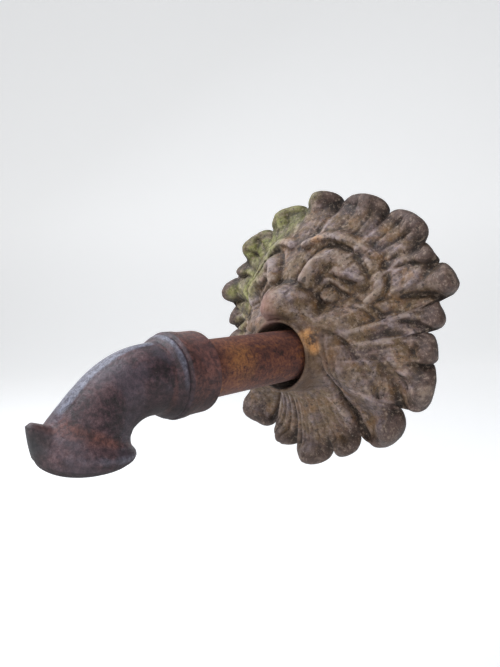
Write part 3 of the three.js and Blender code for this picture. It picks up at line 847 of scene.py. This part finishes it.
lean = node(m, "Math", {0: up_mask, 1: -0.66, 2: place_along(m, 0)}, operation="MULTIPLY_ADD")
lean = node(m, "Math", {0: medium, 1: 0.03, 2: lean}, operation="MULTIPLY_ADD")
high_up = node(m, "Math", {0: up_mask, 1: 1.2, 2: large}, operation="MULTIPLY_ADD")
rim = node(m, "Math", {0: tip, 1: medium}, operation="ADD")
rim = node(m, "Math", {0: up_mask, 1: -3.2, 2: rim}, operation="MULTIPLY_ADD")
thin = node(m, "Math", {0: patch, 1: up_mask}, operation="SUBTRACT")
damp = 0.92
for value, dry, wet in ((lean, -0.106, -0.132), (up_mask, -0.03, 0.05), (high_up, 0.36, 0.56),
                        (rim, 1.19, 0.69), (thin, 0.62, 0.36)):
    damp = node(m, "MapRange", {0: value, 1: dry, 2: wet, 4: damp})
half_patch = node(m, "Math", {0: patch, 1: 0.5}, operation="MULTIPLY")
algae_tone = node(m, "Math", {0: tone, 1: 0.6, 2: half_patch}, operation="MULTIPLY_ADD")
algae = node(m, "ValToRGB", {0: algae_tone}, stops=[
    (0.2, "332f17"), (0.45, "5b582b"), (0.62, "74763a"), (0.85, "9a9b5a")])
mask_colour = stain(m, mask_colour, algae, damp)
print("with dark tips and algae", len(m.node_tree.nodes), "nodes")

# %% Pits, dust, stains, and painted shade and highlight
mask_colour = stain(m, mask_colour, "30251f", fine, 0.53, 0.65, 0.75)
mask_colour = stain(m, mask_colour, "b5a08e", fine, 0.46, 0.36, 0.45)
mask_colour = stain(m, mask_colour, "241b18", grain(m, 3.4, 3, 0.6, shift=(6, 6, 6)), 0.62, 0.68, 0.7)
mask_colour = stain(m, mask_colour, "35261c", up_mask, -0.05, -0.12, 0.28)
mask_colour = stain(m, mask_colour, "a89c90", grit, 0.62, 0.72, 0.6)

brown = node(m, "ValToRGB", {0: tone}, stops=[(0.0, "23160f"), (0.5, "573e2b"), (1.0, "75593f")])
muzzle = node(m, "MapRange", {0: place_along(m, 1), 1: -0.078, 2: -0.1, 4: 0.55})
mask_colour = stain(m, mask_colour, brown, up_mask, 0.045, 0.02, muzzle)
orange = stain(m, "e4aa6c", "bd8450", fine, 0.4, 0.6)
for centre, size, most in (((41, -109, 24), 14, 1.0), ((44, -106, 11), 11, 0.9),
                           ((26, -68, 140), 10, 0.6)):
    mask_colour = stain(m, mask_colour, orange, medium, 0.36, 0.56, spot(m, centre, size, most))
# Painted shade: the undersides of the mask are darkened.
mask_colour = stain(m, mask_colour, "2a211b", facing_up(m), -0.1, -0.9, 0.5)
# A pinkish painted highlight on the top left of the nose.
painted_nose_highlight = stain(m, "754f44", "b98f84", fine, 0.35, 0.65)
mask_colour = stain(m, mask_colour, painted_nose_highlight, spot(m, (-15, -122, 56), 31, 0.75))
finish_iron(m, mask_colour, 0.64, [(grit, 0.45), (fine, 1.1), (medium, 2.0)])
mask.data.materials.append(mask_iron)

# %% [markdown]
# ## Rust of the pipe
# Drawn tube rusts evenly, for its surface has no casting skin. It is red-brown
# with orange streaks that run along it and one broad orange patch near the socket,
# and its underside is painted dark as shade. The noise is stretched along the pipe
# instead of drawn as lines, because real streaks have no edges.

# %% Pipe material
pipe_iron = new_material("rusted_drawn_steel")
m = pipe_iron
along = grain(m, 7, 6, 0.66, (1, 0.35, 1))
speck, dust = grain(m, 1.8, 5, 0.72), grain(m, 0.8, 3, 0.7)
pipe_tone = node(m, "Mix", {0: 0.4, 2: speck, 3: along})
pipe_colour = node(m, "ValToRGB", {0: pipe_tone}, stops=[
    (0.36, "2e1a14"), (0.47, "55302a"), (0.54, "744432"), (0.66, "966044")])
streaks = grain(m, 24, 6, 0.68, (1, 0.4, 1.3), (4, 0, 2))
pipe_colour = stain(m, pipe_colour, stain(m, "7a4420", "b07236", speck, 0.4, 0.6),
                    streaks, 0.52, 0.66, 0.8)
broken = node(m, "Mix", {0: 0.5, 2: grain(m, 6, 6, 0.8, (1.4, 0.7, 1)), 3: speck})
pipe_colour = stain(m, pipe_colour, stain(m, "854c24", "c48a52", dust),
                    broken, 0.41, 0.6, spot(m, (30, -212, 6), 27, 0.95))
# Painted shade: the underside of the pipe is darkened.
pipe_colour = stain(m, pipe_colour, "26150f", facing_up(m), 0.0, -0.9, 0.5)
finish_iron(m, pipe_colour, 0.74, [(dust, 0.3), (speck, 0.9)])
pipe.data.materials.append(pipe_iron)

# %% [markdown]
# ## Rust of the spout
# The spout is darker, almost violet. A dull blue sheen of the sky is painted on
# its top, its shoulder and its lip as a highlight, and red rust sits in its necks.
# A mark on the mesh says which is where, and noise breaks up its edges. The
# places with the painted sheen are also smoother, so they catch the sky.

# %% Spout material
spout_iron = new_material("dark_rusted_casting")
m = spout_iron
cloud = grain(m, 22, 6, 0.64, shift=(2, 5, 1))
speck, dust = grain(m, 2.4, 5, 0.72), grain(m, 0.9, 3, 0.7)
spout_tone = node(m, "Mix", {0: 0.4, 2: speck, 3: cloud})
spout_colour = node(m, "ValToRGB", {0: spout_tone}, stops=[
    (0.36, "1a1314"), (0.46, "3c2a30"), (0.54, "583f44"), (0.66, "7e6366")])
spout_colour = stain(m, spout_colour, stain(m, "332c35", "6e6471", speck),
                     grain(m, 20, 5, 0.6, shift=(1, 9, 6)), 0.5, 0.6, 0.5)
rust_and_painted_sheen = node(m, "Attribute", {}, "Fac", attribute_name="rust_and_painted_sheen")
clouded = node(m, "MapRange", {0: cloud, 3: -0.95, 4: 0.95})
rust_and_painted_sheen = node(m, "Math", {0: rust_and_painted_sheen, 1: clouded}, operation="ADD")
spout_colour = stain(m, spout_colour, stain(m, "532c22", "94553c", speck, 0.42, 0.6),
                     rust_and_painted_sheen, 0.4, 1.5, 0.7)
# Painted highlight: a bluish-grey sheen of the sky on the top strip, the shoulder and the lip.
spout_colour = stain(m, spout_colour, stain(m, "565565", "8d92a6", speck, 0.4, 0.62),
                     rust_and_painted_sheen, -0.4, -1.3, 0.75)
spout_colour = stain(m, spout_colour, "b8aea2", dust, 0.7, 0.76, 0.5)
spout_colour = stain(m, spout_colour, stain(m, "202426", "474c4e", speck),
                     spot(m, (0, -417, -36), 24, 0.75))
under = facing_up(m)
# Painted shade: the undersides of the spout are darkened.
spout_colour = stain(m, spout_colour, "160f10", under, 0.15, -0.6, 0.82)
sheen = node(m, "MapRange", {0: rust_and_painted_sheen, 1: -0.4, 2: -1.3, 3: 0.46, 4: 0.27})
sheen = node(m, "MapRange", {0: under, 1: 0.25, 2: -0.5, 3: sheen, 4: 0.86})
finish_iron(m, spout_colour, sheen, [(dust, 0.35), (speck, 0.9), (cloud, 1.2)])
spout.data.materials.append(spout_iron)

# %% [markdown]
# ## The floor
# The part hangs free, so the floor is a plain pale sheet well below it. A flat
# floor would end in a hard line behind the mask. The sheet is a long grid that
# is bent up behind it in a quarter round, as paper is hung in a studio.

# %% Floor
FLOOR_BELOW = 0.35
HALF_WIDTH, LENGTH, FLAT, BENT = 7, 12, 6, 2
BEFORE = 3
bend_radius = BENT * 2 / math.pi
bm = bmesh.new()
bmesh.ops.create_grid(bm, x_segments=1, y_segments=60, size=1)
for vert in bm.verts:
    run = (vert.co.y + 1) * LENGTH / 2
    bend = min(max((run - FLAT) / BENT, 0), 1) * math.pi / 2
    away = min(run, FLAT) + bend_radius * math.sin(bend)
    height = bend_radius * (1 - math.cos(bend)) + max(run - FLAT - BENT, 0)
    vert.co = (vert.co.x * HALF_WIDTH, away - BEFORE, height)
bmesh.ops.rotate(bm, verts=bm.verts, matrix=Matrix.Rotation(azimuth, 3, "Z"))
bmesh.ops.translate(bm, verts=bm.verts, vec=(0, 0, cad_box[0][2] - FLOOR_BELOW))
floor_mesh = bpy.data.meshes.new("floor")
bm.to_mesh(floor_mesh)
bm.free()
floor = link_mesh("floor", floor_mesh)
for face in floor_mesh.polygons:
    face.use_smooth = True
floor_white = new_material("pale_paper")
paper = node(floor_white, "BsdfPrincipled", {
    "Base Color": "f2f2f2", "Roughness": 0.9, "Emission Color": "ffffff", "Emission Strength": 0.34})
node(floor_white, "OutputMaterial", {"Surface": paper})
floor.data.materials.append(floor_white)
print("the floor is", FLOOR_BELOW, "m below the part")

# %% [markdown]
# ## The light
# Outdoors under thin cloud the light comes from the whole sky, cool from above
# and warmer from the open front. One lamp would throw hard shadows into the
# carving. So there are two large, soft area lamps and a weak even world.

# %% Lights
def area_light(name, place, target, size, power, colour):
    """A square lamp at a place, turned towards its target."""
    data = bpy.data.lights.new(name, "AREA")
    data.size = size
    data.energy = power
    data.color = colour
    lamp = bpy.data.objects.new(name, data)
    lamp.location = place
    lamp.rotation_euler = (Vector(target) - Vector(place)).to_track_quat("-Z", "Y").to_euler()
    bpy.context.scene.collection.objects.link(lamp)


middle_of_mask = (0, -0.15, 0)
area_light("sky", (-1.1, -0.9, 2.0), middle_of_mask, 1.8, 62, (0.9, 0.94, 1.0))
area_light("front", (0.9, -2.2, 1.0), middle_of_mask, 1.4, 16, (1.0, 0.97, 0.92))

world = bpy.data.worlds.new("studio")
world.use_nodes = True
world.node_tree.nodes["Background"].inputs[0].default_value = (0.93, 0.96, 1.0, 1)
world.node_tree.nodes["Background"].inputs[1].default_value = 0.3
bpy.context.scene.world = world
bpy.context.scene.view_settings.view_transform = "Standard"
